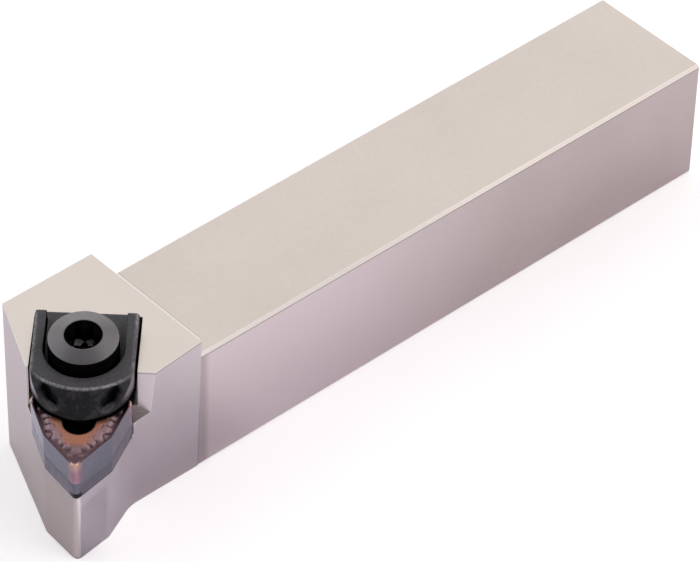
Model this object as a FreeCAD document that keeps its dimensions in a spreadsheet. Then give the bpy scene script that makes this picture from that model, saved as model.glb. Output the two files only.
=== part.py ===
import FreeCAD, Part
import math
import os
import Sketcher

# Right-hand turning tool holder with a square shank, a trigon cutting insert on a shim,
# a forged clamp in an angled slot, its wide-headed screw and the spring that lifts it.
# Millimetres. X runs along the shank towards the head, Y towards the cutting side and Z up.
# The origin lies on the seating face, on the shank's centre line, where the head begins.
# Everything that sits at the insert is drawn in the seat's own directions: "along" points
# to the nose, "across" to its left and "up" is square to the insert's top face. Their
# origin is the middle of that face.
SIZES = {
    "shank_width": 25.0,
    "shank_height": 25.0,
    "shank_length": 118.0,
    "shank_edge": 0.5,
    "nose_reach": 32.0,
    "nose_offset": 32.0,
    "cutting_height": 25.0,
    "nose_turn": 46.25,
    "seat_lean": 5.7,
    "head_height": 29.4,
    "head_corner_top": 19.15,
    "head_corner_base": 20.8,
    "head_bend_x": 25.75,
    "head_bend_y": 0.6,
    "back_flare": 2.5,
    "front_flare": 1.15,
    "front_spread": 1.3,
    "side_corner_base": 14.9,
    "side_corner_top": 15.8,
    "nose_relief_x": 2.4,
    "nose_relief_y": 3.6,
    "side_relief_x": 1.45,
    "side_blend": 7.0,
    "nose_blend": 1.0,
    "nose_lead_x": 0.25,
    "nose_lead_y": 0.85,
    "notch_turn": 45.0,
    "notch_reach": 17.86,
    "notch_floor": 20.6,
    "stop_width": 13.6,
    "stop_depth": 0.9,
    "stop_length": 3.6,
    "insert_circle": 12.7,
    "insert_thickness": 4.76,
    "insert_corner": 0.8,
    "insert_hole": 5.16,
    "insert_hole_rim": 0.35,
    "breaker_land": 0.25,
    "breaker_reach": 8.9,
    "breaker_depth": 0.28,
    "plateau_inset": 1.95,
    "plateau_reach": 5.4,
    "bump_width": 0.9,
    "bump_height": 0.2,
    "bump_inset": 1.15,
    "bump_nose_inset": 3.35,
    "bump_front_x": 5.15,
    "bump_front_y": 2.27,
    "bump_side_x": 3.62,
    "bump_side_y": 3.56,
    "seat_clearance": 0.08,
    "shim_thickness": 3.8,
    "shim_inset": 0.12,
    "shim_hole": 4.4,
    "shim_sink": 1.3,
    "shim_screw_width": 4.0,
    "shim_screw_length": 11.0,
    "shim_screw_key": 2.2,
    "clamp_width": 17.15,
    "clamp_back": 21.85,
    "clamp_tip": 0.35,
    "clamp_top": 4.5,
    "clamp_bed": 2.2,
    "clamp_lip": 3.2,
    "clamp_lip_radius": 11.6,
    "clamp_edge": 0.6,
    "clamp_round": 0.45,
    "dimple_radius": 3.0,
    "dimple_along": 0.5,
    "dimple_spread": 5.6,
    "dimple_up": 3.9,
    "clamp_body_front": 9.4,
    "clamp_body_depth": 3.0,
    "clamp_heel": 2.6,
    "rail_back": 20.2,
    "recess_width": 13.3,
    "hook_width": 3.8,
    "hook_length": 1.6,
    "contact_gap": 0.05,
    "slot_gap_side": 0.4,
    "slot_gap_back": 0.35,
    "slot_depth": 4.9,
    "screw_back": 12.25,
    "screw_width": 6.0,
    "screw_depth": 15.0,
    "screw_clearance": 0.05,
    "screw_hole_gap": 0.3,
    "screw_head_width": 12.05,
    "screw_head_height": 4.5,
    "screw_head_edge": 0.25,
    "screw_head_rise": 0.85,
    "socket_mouth": 6.3,
    "socket_mouth_depth": 0.6,
    "socket_width": 5.5,
    "socket_lobe": 1.5,
    "socket_depth": 4.9,
    "spring_wire": 0.7,
    "spring_mean": 7.5,
    "spring_pocket_gap": 0.3,
    "spring_pocket_depth": 3.6,
    "spring_roof_depth": 2.2,
    "thread_depth": 15.5,
}

doc = FreeCAD.newDocument("TurningToolHolder")
sheet = doc.addObject("Spreadsheet::Sheet", "Sizes")
for row, (name, value) in enumerate(SIZES.items(), 1):
    sheet.set("A%d" % row, name)
    sheet.set("B%d" % row, str(value))
    sheet.setAlias("B%d" % row, name)
doc.recompute()

# The trigon's corners lie on two circles about the insert's centre.
NOSE_RADIUS = "(Sizes.insert_circle / 2 / sin(40 deg))"
FLAT_RADIUS = "(Sizes.insert_circle / 2 / sin(80 deg))"
TURN = "(Sizes.nose_turn * 1 deg)"
LEAN = "(Sizes.seat_lean * 1 deg)"
SEAT_X = "(Sizes.nose_reach - %s * cos%s * cos%s)" % (NOSE_RADIUS, LEAN, TURN)
SEAT_Y = "(Sizes.nose_offset - Sizes.shank_width / 2 - %s * cos%s * sin%s)" % (NOSE_RADIUS, LEAN, TURN)
SEAT_Z = "(Sizes.cutting_height + %s * sin%s)" % (NOSE_RADIUS, LEAN)
SEAT = "placement(vector(%s; %s; %s); rotation(Sizes.nose_turn; Sizes.seat_lean; 0))" % (SEAT_X, SEAT_Y, SEAT_Z)
STACK = "(Sizes.insert_thickness + Sizes.shim_thickness)"
FAR = "60"


def shifted(placement, along, across, up):
    return "%s * placement(vector(%s; %s; %s); rotation(0; 0; 0))" % (placement, along, across, up)


def origin_plane(body, role):
    return [feature for feature in body.Origin.OriginFeatures if feature.Role == role][0]


def new_sketch(body, name, role, offset=None):
    sketch = body.newObject("Sketcher::SketchObject", name)
    sketch.AttachmentSupport = [(origin_plane(body, role), "")]
    sketch.MapMode = "FlatFace"
    if offset:
        sketch.setExpression("AttachmentOffset", offset)
    return sketch


def bind(sketch, kind, geometry, point, value):
    index = sketch.addConstraint(Sketcher.Constraint(kind, -1, 1, geometry, point, 1.0))
    sketch.setExpression("Constraints[%d]" % index, value)


def draw_outline(sketch, points):
    """A closed outline of straight lines, each corner held by two sizes."""
    count = len(points)
    first = sketch.GeometryCount
    ring = [2 * math.pi * i / count for i in range(count + 1)]
    corners = [FreeCAD.Vector(math.cos(angle), math.sin(angle), 0) for angle in ring]
    for i in range(count):
        sketch.addGeometry(Part.LineSegment(corners[i], corners[i + 1]))
    for i in range(count):
        following = first + (i + 1) % count
        sketch.addConstraint(Sketcher.Constraint("Coincident", first + i, 2, following, 1))
    for i, (x, y) in enumerate(points):
        bind(sketch, "DistanceX", first + i, 1, x)
        bind(sketch, "DistanceY", first + i, 1, y)


def draw_circle(sketch, x, y, radius):
    circle = Part.Circle(FreeCAD.Vector(1, 1, 0), FreeCAD.Vector(0, 0, 1), 1.0)
    index = sketch.addGeometry(circle)
    bind(sketch, "DistanceX", index, 3, x)
    bind(sketch, "DistanceY", index, 3, y)
    size = sketch.addConstraint(Sketcher.Constraint("Radius", index, 1.0))
    sketch.setExpression("Constraints[%d]" % size, radius)


def draw_octagon(sketch, x, y, radius):
    """A regular eight-sided outline about a point, its corners on a circle."""
    corners = []
    for angle in range(0, 360, 45):
        corners.append(("%s + %s * cos(%d deg)" % (x, radius, angle), "%s + %s * sin(%d deg)" % (y, radius, angle)))
    draw_outline(sketch, corners)


def pad(body, name, sketch, length, reverse=False):
    feature = body.newObject("PartDesign::Pad", name)
    feature.Profile = sketch
    feature.setExpression("Length", length)
    feature.Reversed = reverse
    return feature


def pocket(body, name, sketch, length, reverse=False):
    """Cuts against the sketch's own upward direction, or along it when reversed."""
    feature = body.newObject("PartDesign::Pocket", name)
    feature.Profile = sketch
    feature.setExpression("Length", length)
    feature.Reversed = reverse
    return feature


def rectangle(low_x, low_y, high_x, high_y):
    return [(low_x, low_y), (high_x, low_y), (high_x, high_y), (low_x, high_y)]


def seat_plan(along, across, up):
    """Where a point of the seat's directions lies in plan view."""
    x = "%s + (%s) * cos%s * cos%s - (%s) * sin%s + (%s) * sin%s * cos%s" % (
        SEAT_X, along, LEAN, TURN, across, TURN, up, LEAN, TURN)
    y = "%s + (%s) * cos%s * sin%s + (%s) * cos%s + (%s) * sin%s * sin%s" % (
        SEAT_Y, along, LEAN, TURN, across, TURN, up, LEAN, TURN)
    return x, y


def trigon(inset):
    """The insert's six corners, drawn in by an inset."""
    points = []
    for i in range(3):
        for radius, angle in ((NOSE_RADIUS, 120 * i), (FLAT_RADIUS, 120 * i + 60)):
            size = "(%s * (1 - 2 * %s / Sizes.insert_circle))" % (radius, inset)
            points.append(("%s * cos(%d deg)" % (size, angle), "%s * sin(%d deg)" % (size, angle)))
    return points


def blunt_trigon(inset, reach):
    """The insert's outline drawn in by an inset, with each nose cut off square."""
    side = "(Sizes.insert_circle / 2 - %s)" % inset
    half = "((%s - %s * sin(40 deg)) / cos(40 deg))" % (side, reach)
    flat = "(%s / sin(80 deg))" % side
    points = []
    for i in range(3):
        turn = 120 * i
        for sign in ("-1", "1"):
            x = "(%s * cos(%d deg) - %s * %s * sin(%d deg))" % (reach, turn, sign, half, turn)
            y = "(%s * sin(%d deg) + %s * %s * cos(%d deg))" % (reach, turn, sign, half, turn)
            points.append((x, y))
        points.append(("%s * cos(%d deg)" % (flat, turn + 60), "%s * sin(%d deg)" % (flat, turn + 60)))
    return points


def corner_edge(feature, low, high):
    """The name of the feature's edge between two points."""
    for i, edge in enumerate(feature.Shape.Edges, 1):
        ends = [vertex.Point for vertex in edge.Vertexes]
        if len(ends) < 2:
            continue
        straight = max(ends[0].distanceToPoint(low), ends[1].distanceToPoint(high))
        swapped = max(ends[1].distanceToPoint(low), ends[0].distanceToPoint(high))
        if min(straight, swapped) < 0.01:
            return "Edge%d" % i
    raise RuntimeError("%s has no edge there" % feature.Name)


def sketch_corner(sketch, index):
    return sketch.Placement.multVec(sketch.Geometry[index].StartPoint)


def upright_edges(body, feature, radius):
    """Names of a feature's edges that run up at one distance from the body's own axis."""
    names = []
    for i, edge in enumerate(feature.Shape.Edges, 1):
        ends = [vertex.Point for vertex in edge.Vertexes]
        if len(ends) < 2 or abs(ends[0].z - ends[1].z) < 0.5:
            continue
        reaches = [math.hypot(end.x, end.y) for end in ends]
        if max(abs(reach - radius) for reach in reaches) < 0.3:
            names.append("Edge%d" % i)
    return names


def circle_edges(feature, radius, height):
    """Names of a feature's round edges of one radius at one height."""
    names = []
    for i, edge in enumerate(feature.Shape.Edges, 1):
        if not isinstance(edge.Curve, Part.Circle):
            continue
        same_size = abs(edge.Curve.Radius - radius) < 0.01
        if same_size and abs(edge.Curve.Center.z - height) < 0.01:
            names.append("Edge%d" % i)
    return names


# The insert: a trigon with rounded noses and a hole with a broken rim.
def make_insert():
    body = doc.addObject("PartDesign::Body", "cutting_insert")
    body.setExpression("Placement", SEAT)
    below = "placement(vector(0; 0; -Sizes.insert_thickness); rotation(0; 0; 0))"
    plan = new_sketch(body, "InsertPlan", "XY_Plane", below)
    draw_outline(plan, trigon("0"))
    blank = pad(body, "InsertBlank", plan, "Sizes.insert_thickness")
    doc.recompute()
    corner = SIZES["insert_circle"] / 2 / math.sin(math.radians(40))
    noses = body.newObject("PartDesign::Fillet", "InsertNoses")
    noses.Base = (blank, upright_edges(body, blank, corner))
    noses.setExpression("Radius", "Sizes.insert_corner")
    hole_plan = new_sketch(body, "InsertHolePlan", "XY_Plane")
    draw_circle(hole_plan, "0", "0", "Sizes.insert_hole / 2")
    hole = pocket(body, "InsertHole", hole_plan, "Sizes.insert_thickness + 1")
    doc.recompute()
    rim = body.newObject("PartDesign::Chamfer", "InsertRim")
    radius = SIZES["insert_hole"] / 2
    edges = circle_edges(hole, radius, 0) + circle_edges(hole, radius, -SIZES["insert_thickness"])
    rim.Base = (hole, edges)
    rim.setExpression("Size", "Sizes.insert_hole_rim")
    # The chip breaker on both faces: a sunk field inside the land, with a plateau left in it.
    land = blunt_trigon("Sizes.breaker_land", "Sizes.breaker_reach")
    plateau = blunt_trigon("Sizes.plateau_inset", "Sizes.plateau_reach")
    for face, level, upward in (("Top", "0", False), ("Bottom", "-Sizes.insert_thickness", True)):
        surface = "placement(vector(0; 0; %s); rotation(0; 0; 0))" % level
        field_plan = new_sketch(body, "Breaker%s" % face, "XY_Plane", surface)
        draw_outline(field_plan, land)
        draw_outline(field_plan, plateau)
        pocket(body, "BreakerField%s" % face, field_plan, "Sizes.breaker_depth", upward)
    # Small bumps in the sunk field, at its nose, along its sides and at its flat corner.
    bumps = []
    tail = "(%s - Sizes.bump_inset)" % FLAT_RADIUS
    for face, level in (("Top", "-Sizes.breaker_depth"), ("Bottom", "Sizes.breaker_depth - Sizes.insert_thickness")):
        floor = "placement(vector(0; 0; %s); rotation(0; 0; 0))" % level
        bump_plan = new_sketch(body, "BreakerBump%s" % face, "XY_Plane", floor)
        for x, y in (
                ("%s - Sizes.bump_nose_inset" % NOSE_RADIUS, "0"),
                ("Sizes.bump_front_x", "Sizes.bump_front_y"),
                ("Sizes.bump_front_x", "-Sizes.bump_front_y"),
                ("Sizes.bump_side_x", "Sizes.bump_side_y"),
                ("Sizes.bump_side_x", "-Sizes.bump_side_y"),
                ("%s * cos(60 deg)" % tail, "%s * sin(60 deg)" % tail)):
            draw_octagon(bump_plan, x, y, "Sizes.bump_width / 2")
        bumps.append(pad(body, "BreakerBumps%s" % face, bump_plan, "Sizes.bump_height", face == "Bottom"))
    doc.recompute()
    around = body.newObject("PartDesign::PolarPattern", "BreakerBumpRing")
    around.Originals = bumps
    around.Axis = (origin_plane(body, "Z_Axis"), [""])
    around.Angle = 360
    around.Occurrences = 3
    body.Tip = around
    return body


# The shim under the insert, of the same outline, with a sunk hole for its screw.
def make_shim():
    body = doc.addObject("PartDesign::Body", "shim")
    body.setExpression("Placement", SEAT)
    below = "placement(vector(0; 0; -%s); rotation(0; 0; 0))" % STACK
    plan = new_sketch(body, "ShimPlan", "XY_Plane", below)
    draw_outline(plan, trigon("Sizes.shim_inset"))
    blank = pad(body, "ShimBlank", plan, "Sizes.shim_thickness")
    doc.recompute()
    corner = SIZES["insert_circle"] / 2 / math.sin(math.radians(40)) - SIZES["shim_inset"]
    noses = body.newObject("PartDesign::Fillet", "ShimNoses")
    noses.Base = (blank, upright_edges(body, blank, corner))
    noses.setExpression("Radius", "Sizes.insert_corner")
    top = "placement(vector(0; 0; -Sizes.insert_thickness); rotation(0; 0; 0))"
    hole_plan = new_sketch(body, "ShimHolePlan", "XY_Plane", top)
    draw_circle(hole_plan, "0", "0", "Sizes.shim_hole / 2")
    hole = pocket(body, "ShimHole", hole_plan, "Sizes.shim_thickness + 1")
    doc.recompute()
    sink = body.newObject("PartDesign::Chamfer", "ShimSink")
    sink.Base = (hole, circle_edges(hole, SIZES["shim_hole"] / 2, -SIZES["insert_thickness"]))
    sink.setExpression("Size", "Sizes.shim_sink")
    return body


# The countersunk screw that holds the shim. Its socket is a plain six-sided one.
def make_shim_screw():
    body = doc.addObject("PartDesign::Body", "shim_screw")
    body.setExpression("Placement", SEAT)
    profile = new_sketch(body, "ShimScrewProfile", "XZ_Plane")
    top = "-Sizes.insert_thickness - 2 * Sizes.contact_gap"
    throat = "Sizes.shim_screw_width / 2"
    rim = "(Sizes.shim_hole / 2 + Sizes.shim_sink - 2 * Sizes.contact_gap)"
    draw_outline(profile, [
        ("0", top),
        (rim, top),
        (throat, "%s - %s + %s" % (top, rim, throat)),
        (throat, "%s - Sizes.shim_screw_length" % top),
        ("0", "%s - Sizes.shim_screw_length" % top)])
    turned = body.newObject("PartDesign::Revolution", "ShimScrewTurned")
    turned.Profile = profile
    turned.ReferenceAxis = (profile, ["V_Axis"])
    turned.Angle = 360
    above = "placement(vector(0; 0; %s); rotation(0; 0; 0))" % top
    socket_plan = new_sketch(body, "ShimSocketPlan", "XY_Plane", above)
    key = "Sizes.shim_screw_key / 2 / cos(30 deg)"
    corners = [("%s * cos(%d deg)" % (key, a), "%s * sin(%d deg)" % (key, a)) for a in range(0, 360, 60)]
    draw_outline(socket_plan, corners)
    pocket(body, "ShimSocket", socket_plan, "Sizes.shim_screw_key")
    return body


# The one-piece shank and head, with the notch, the insert's seat and the clamp's slot.
def make_holder():
    body = doc.addObject("PartDesign::Body", "holder_body")
    half = "Sizes.shank_width / 2"
    edge = "Sizes.shank_edge"
    tall = "Sizes.shank_height"
    shank_section = new_sketch(body, "ShankSection", "YZ_Plane")
    draw_outline(shank_section, [
        ("-%s" % half, "%s / 2" % edge), ("-%s + %s / 2" % (half, edge), "0"),
        ("%s - %s / 2" % (half, edge), "0"), (half, "%s / 2" % edge),
        (half, "%s - %s" % (tall, edge)), ("%s - %s" % (half, edge), tall),
        ("-%s + %s / 2" % (half, edge), tall), ("-%s" % half, "%s - %s / 2" % (tall, edge))])
    pad(body, "Shank", shank_section, "Sizes.shank_length", True)
    nose_x, nose_y = seat_plan(NOSE_RADIUS, "0", "0")
    left_x, left_y = seat_plan("%s / 2" % FLAT_RADIUS, "-%s * sin(60 deg)" % FLAT_RADIUS, "0")
    right_x, right_y = seat_plan("%s / 2" % FLAT_RADIUS, "%s * sin(60 deg)" % FLAT_RADIUS, "0")
    lead_x = "Sizes.nose_lead_x"
    lead_y = "Sizes.nose_lead_y"
    wide = "(%s + Sizes.front_flare)" % half
    base = new_sketch(body, "HeadBase", "XY_Plane")
    draw_outline(base, [
        ("0", "-%s" % half),
        ("Sizes.head_corner_base", "-%s" % half),
        ("Sizes.head_bend_x", "-Sizes.head_bend_y"),
        ("%s + %s - Sizes.nose_relief_x" % (left_x, lead_x), "%s + %s - Sizes.nose_relief_y" % (left_y, lead_y)),
        ("%s + %s - Sizes.nose_relief_x" % (nose_x, lead_x), "%s + %s - Sizes.nose_relief_y" % (nose_y, lead_y)),
        ("%s + %s - Sizes.side_relief_x" % (right_x, lead_x), "%s + %s - Sizes.nose_relief_y" % (right_y, lead_y)),
        ("Sizes.side_corner_base", half),
        ("0", half)])
    raised = "placement(vector(0; 0; Sizes.head_height); rotation(0; 0; 0))"
    roof = new_sketch(body, "HeadRoof", "XY_Plane", raised)
    draw_outline(roof, [
        ("0", "-%s - Sizes.back_flare" % half),
        ("Sizes.head_corner_top", "-%s - Sizes.back_flare" % half),
        ("Sizes.head_bend_x", "-Sizes.head_bend_y"),
        ("%s + %s" % (left_x, lead_x), "%s + %s" % (left_y, lead_y)),
        ("%s + %s" % (nose_x, lead_x), "%s + %s" % (nose_y, lead_y)),
        ("%s + %s" % (right_x, lead_x), "%s + %s" % (right_y, lead_y)),
        ("Sizes.side_corner_top", "%s + Sizes.front_spread" % wide),
        ("0", wide)])
    head = body.newObject("PartDesign::AdditiveLoft", "Head")
    head.Profile = base
    head.Sections = [roof]
    head.Ruled = True
    doc.recompute()
    nose_edge = corner_edge(head, sketch_corner(base, 4), sketch_corner(roof, 4))
    nose_blend = body.newObject("PartDesign::Fillet", "HeadNoseBlend")
    nose_blend.Base = (head, [nose_edge])
    nose_blend.setExpression("Radius", "Sizes.nose_blend")
    doc.recompute()
    side_edge = corner_edge(nose_blend, sketch_corner(base, 6), sketch_corner(roof, 6))
    side_blend = body.newObject("PartDesign::Fillet", "HeadSideBlend")
    side_blend.Base = (nose_blend, [side_edge])
    side_blend.setExpression("Radius", "Sizes.side_blend")
    # The notch in front of the clamp, and the stop behind the insert that it leaves.
    notch_offset = "placement(vector(0; 0; Sizes.notch_floor); rotation(Sizes.notch_turn; 0; 0))"
    notch_plan = new_sketch(body, "NotchPlan", "XY_Plane", notch_offset)
    middle = "(%s * cos(Sizes.notch_turn * 1 deg) - %s * sin(Sizes.notch_turn * 1 deg))" % (SEAT_Y, SEAT_X)
    reach = "Sizes.notch_reach"
    stop = "(%s + Sizes.stop_length)" % reach
    draw_outline(notch_plan, [
        (reach, "-%s" % FAR),
        (FAR, "-%s" % FAR),
        (FAR, FAR),
        (reach, FAR),
        (reach, "%s + Sizes.stop_width / 2" % middle),
        (stop, "%s + Sizes.stop_width / 2" % middle),
        (stop, "%s - Sizes.stop_width / 2" % middle),
        (reach, "%s - Sizes.stop_width / 2" % middle)])
    pocket(body, "Notch", notch_plan, FAR, True)
    # The seat: a floor under the shim and two walls along the insert's rear sides.
    seat_offset = shifted(SEAT, "0", "0", "-%s" % STACK)
    seat_outline = new_sketch(body, "SeatPlan", "XY_Plane", seat_offset)
    rear = "(%s + Sizes.seat_clearance)" % FLAT_RADIUS
    side_along = "(-%s + 2 * (%s - %s / 2))" % (rear, FLAT_RADIUS, NOSE_RADIUS)
    side_across = "(2 * %s * sin(60 deg))" % NOSE_RADIUS
    draw_outline(seat_outline, [
        ("-%s" % rear, "0"),
        (side_along, "-%s" % side_across),
        (FAR, "-%s" % side_across),
        (FAR, side_across),
        (side_along, side_across)])
    pocket(body, "Seat", seat_outline, FAR, True)
    # The clamp's slot, open to the notch on both sides of the stop.
    slot_offset = shifted(SEAT, "0", "0", "-Sizes.slot_depth")
    slot_plan = new_sketch(body, "SlotPlan", "XY_Plane", slot_offset)
    slot_half = "(Sizes.clamp_width / 2 + Sizes.slot_gap_side)"
    slot_back = "-(Sizes.clamp_back + Sizes.slot_gap_back)"
    stop_back = "-(Sizes.clamp_body_front - Sizes.slot_gap_side)"
    stop_half = "Sizes.stop_width / 2"
    draw_outline(slot_plan, [
        (slot_back, "-%s" % slot_half), ("-6", "-%s" % slot_half),
        ("-6", "-%s" % stop_half), (stop_back, "-%s" % stop_half),
        (stop_back, stop_half), ("-6", stop_half),
        ("-6", slot_half), (slot_back, slot_half)])
    pocket(body, "Slot", slot_plan, FAR, True)
    stop_offset = shifted(SEAT, "0", "0", "-Sizes.stop_depth")
    stop_plan = new_sketch(body, "StopPlan", "XY_Plane", stop_offset)
    draw_outline(stop_plan, rectangle("%s - 1" % stop_back, "-%s" % slot_half, "0", slot_half))
    pocket(body, "StopTop", stop_plan, FAR, True)
    # The spring's pocket, which also hollows the back of the stop, and the plain holes.
    spring_floor = shifted(SEAT, "0", "0", "-Sizes.slot_depth - Sizes.spring_pocket_depth")
    spring_plan = new_sketch(body, "SpringPlan", "XY_Plane", spring_floor)
    pocket_radius = "(Sizes.spring_mean / 2 + Sizes.spring_wire / 2 + Sizes.spring_pocket_gap)"
    draw_circle(spring_plan, "-Sizes.screw_back", "0", pocket_radius)
    pocket(body, "SpringPocket", spring_plan, FAR, True)
    thread_plan = new_sketch(body, "ThreadPlan", "XY_Plane", slot_offset)
    draw_circle(thread_plan, "-Sizes.screw_back", "0", "Sizes.screw_width / 2 + Sizes.screw_clearance")
    pocket(body, "ScrewHole", thread_plan, "Sizes.thread_depth")
    shim_hole_plan = new_sketch(body, "ShimScrewHolePlan", "XY_Plane", seat_offset)
    draw_circle(shim_hole_plan, "0", "0", "Sizes.shim_screw_width / 2 + Sizes.screw_clearance")
    pocket(body, "ShimScrewHole", shim_hole_plan, "Sizes.shim_screw_length")
    return body


def clamp_rim_edges(feature):
    """Names of the edges round the top of the clamp's block, apart from its back edge."""
    names = []
    for i, edge in enumerate(feature.Shape.Edges, 1):
        ends = [vertex.Point for vertex in edge.Vertexes]
        level = max(abs(end.z - SIZES["clamp_top"]) for end in ends)
        behind = max(end.x for end in ends) < 0.01 - SIZES["clamp_back"]
        if level < 0.01 and not behind:
            names.append("Edge%d" % i)
    return names


# The forged clamp: a block with a round front, a sloping face down to its tip, a recess
# for the screw's head that is open at the back, a heel and a hook for the insert's hole.
def make_clamp():
    body = doc.addObject("PartDesign::Body", "top_clamp")
    body.setExpression("Placement", SEAT)
    half = "Sizes.clamp_width / 2"
    round_centre = "(Sizes.clamp_tip - %s)" % half
    thick = "(Sizes.clamp_top - Sizes.contact_gap)"
    resting = "placement(vector(0; 0; Sizes.contact_gap); rotation(0; 0; 0))"
    block_plan = new_sketch(body, "ClampBlockPlan", "XY_Plane", resting)
    draw_outline(block_plan, rectangle("-Sizes.clamp_back", "-%s" % half, round_centre, half))
    pad(body, "ClampBlock", block_plan, thick)
    front_plan = new_sketch(body, "ClampFrontPlan", "XY_Plane", resting)
    draw_circle(front_plan, round_centre, "0", half)
    pad(body, "ClampFront", front_plan, thick)
    body_plan = new_sketch(body, "ClampBodyPlan", "XY_Plane", resting)
    draw_outline(body_plan, rectangle("-Sizes.clamp_back", "-%s" % half, "-Sizes.clamp_body_front", half))
    pad(body, "ClampBody", body_plan, "Sizes.clamp_body_depth", True)
    heel_plan = new_sketch(body, "ClampHeelPlan", "XY_Plane", resting)
    heel_front = "(Sizes.clamp_heel - Sizes.clamp_back)"
    draw_outline(heel_plan, rectangle("-Sizes.clamp_back", "-%s" % half, heel_front, half))
    pad(body, "ClampHeel", heel_plan, "Sizes.slot_depth", True)
    # The sloping front is part of a cone about an upright axis behind the screw.
    slope_centre = "-(Sizes.clamp_lip + Sizes.clamp_lip_radius)"
    slope_offset = "placement(vector(%s; 0; 0); rotation(0; 0; 0))" % slope_centre
    slope_profile = new_sketch(body, "ClampSlopeProfile", "XZ_Plane", slope_offset)
    tip_radius = "(Sizes.clamp_tip + Sizes.clamp_lip + Sizes.clamp_lip_radius)"
    draw_outline(slope_profile, [
        ("Sizes.clamp_lip_radius", "Sizes.clamp_top"),
        (tip_radius, "Sizes.clamp_edge"),
        ("%s + 8" % tip_radius, "Sizes.clamp_edge"),
        ("%s + 8" % tip_radius, "Sizes.clamp_top + 2"),
        ("Sizes.clamp_lip_radius", "Sizes.clamp_top + 2")])
    slope = body.newObject("PartDesign::Groove", "ClampSlope")
    slope.Profile = slope_profile
    slope.ReferenceAxis = (slope_profile, ["V_Axis"])
    slope.Angle = 360
    doc.recompute()
    edge_names = clamp_rim_edges(slope)
    rim = body.newObject("PartDesign::Fillet", "ClampRim")
    rim.Base = (slope, edge_names)
    rim.setExpression("Radius", "Sizes.clamp_round")
    # Two shallow hollows in the sloping front, one on each side.
    for name, sign in (("Right", "-"), ("Left", "")):
        dimple = body.newObject("PartDesign::SubtractiveSphere", "ClampDimple%s" % name)
        dimple.AttachmentSupport = [(origin_plane(body, "XY_Plane"), "")]
        dimple.MapMode = "FlatFace"
        dimple.setExpression("Radius", "Sizes.dimple_radius")
        dimple.setExpression("AttachmentOffset", "placement(vector(-Sizes.dimple_along; "
                             "%sSizes.dimple_spread; Sizes.dimple_up); rotation(0; 0; 0))" % sign)
    top = "placement(vector(0; 0; Sizes.clamp_top); rotation(0; 0; 0))"
    recess_depth = "(Sizes.clamp_top - Sizes.clamp_bed)"
    recess_plan = new_sketch(body, "RecessPlan", "XY_Plane", top)
    recess_half = "Sizes.recess_width / 2"
    draw_outline(recess_plan, rectangle("-%s" % FAR, "-%s" % recess_half, "-Sizes.screw_back", recess_half))
    pocket(body, "Recess", recess_plan, recess_depth)
    bowl_plan = new_sketch(body, "RecessBowlPlan", "XY_Plane", top)
    draw_circle(bowl_plan, "-Sizes.screw_back", "0", recess_half)
    pocket(body, "RecessBowl", bowl_plan, recess_depth)
    rail_plan = new_sketch(body, "RailEndPlan", "XY_Plane", top)
    draw_outline(rail_plan, rectangle("-%s" % FAR, "-%s" % half, "-Sizes.rail_back", half))
    pocket(body, "RailEnds", rail_plan, recess_depth)
    hole_plan = new_sketch(body, "ClampHolePlan", "XY_Plane", top)
    draw_circle(hole_plan, "-Sizes.screw_back", "0", "Sizes.screw_width / 2 + Sizes.screw_hole_gap")
    pocket(body, "ClampHole", hole_plan, FAR)
    roof = "placement(vector(0; 0; Sizes.contact_gap - Sizes.clamp_body_depth); rotation(0; 0; 0))"
    spring_plan = new_sketch(body, "ClampSpringPlan", "XY_Plane", roof)
    pocket_radius = "(Sizes.spring_mean / 2 + Sizes.spring_wire / 2 + Sizes.spring_pocket_gap)"
    draw_circle(spring_plan, "-Sizes.screw_back", "0", pocket_radius)
    pocket(body, "ClampSpringPocket", spring_plan, "Sizes.spring_roof_depth", True)
    # The hook reaches into the insert's hole and draws the insert back.
    hook_plan = new_sketch(body, "HookPlan", "XY_Plane", resting)
    hook_centre = "-(Sizes.insert_hole / 2 - Sizes.hook_width / 2 - 2 * Sizes.contact_gap)"
    draw_circle(hook_plan, hook_centre, "0", "Sizes.hook_width / 2")
    pad(body, "Hook", hook_plan, "Sizes.hook_length", True)
    trim_plan = new_sketch(body, "HookTrimPlan", "XY_Plane", resting)
    draw_outline(trim_plan, rectangle("Sizes.clamp_tip", "-3", "3", "3"))
    pocket(body, "HookTrim", trim_plan, "Sizes.hook_length + 1")
    return body


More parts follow.
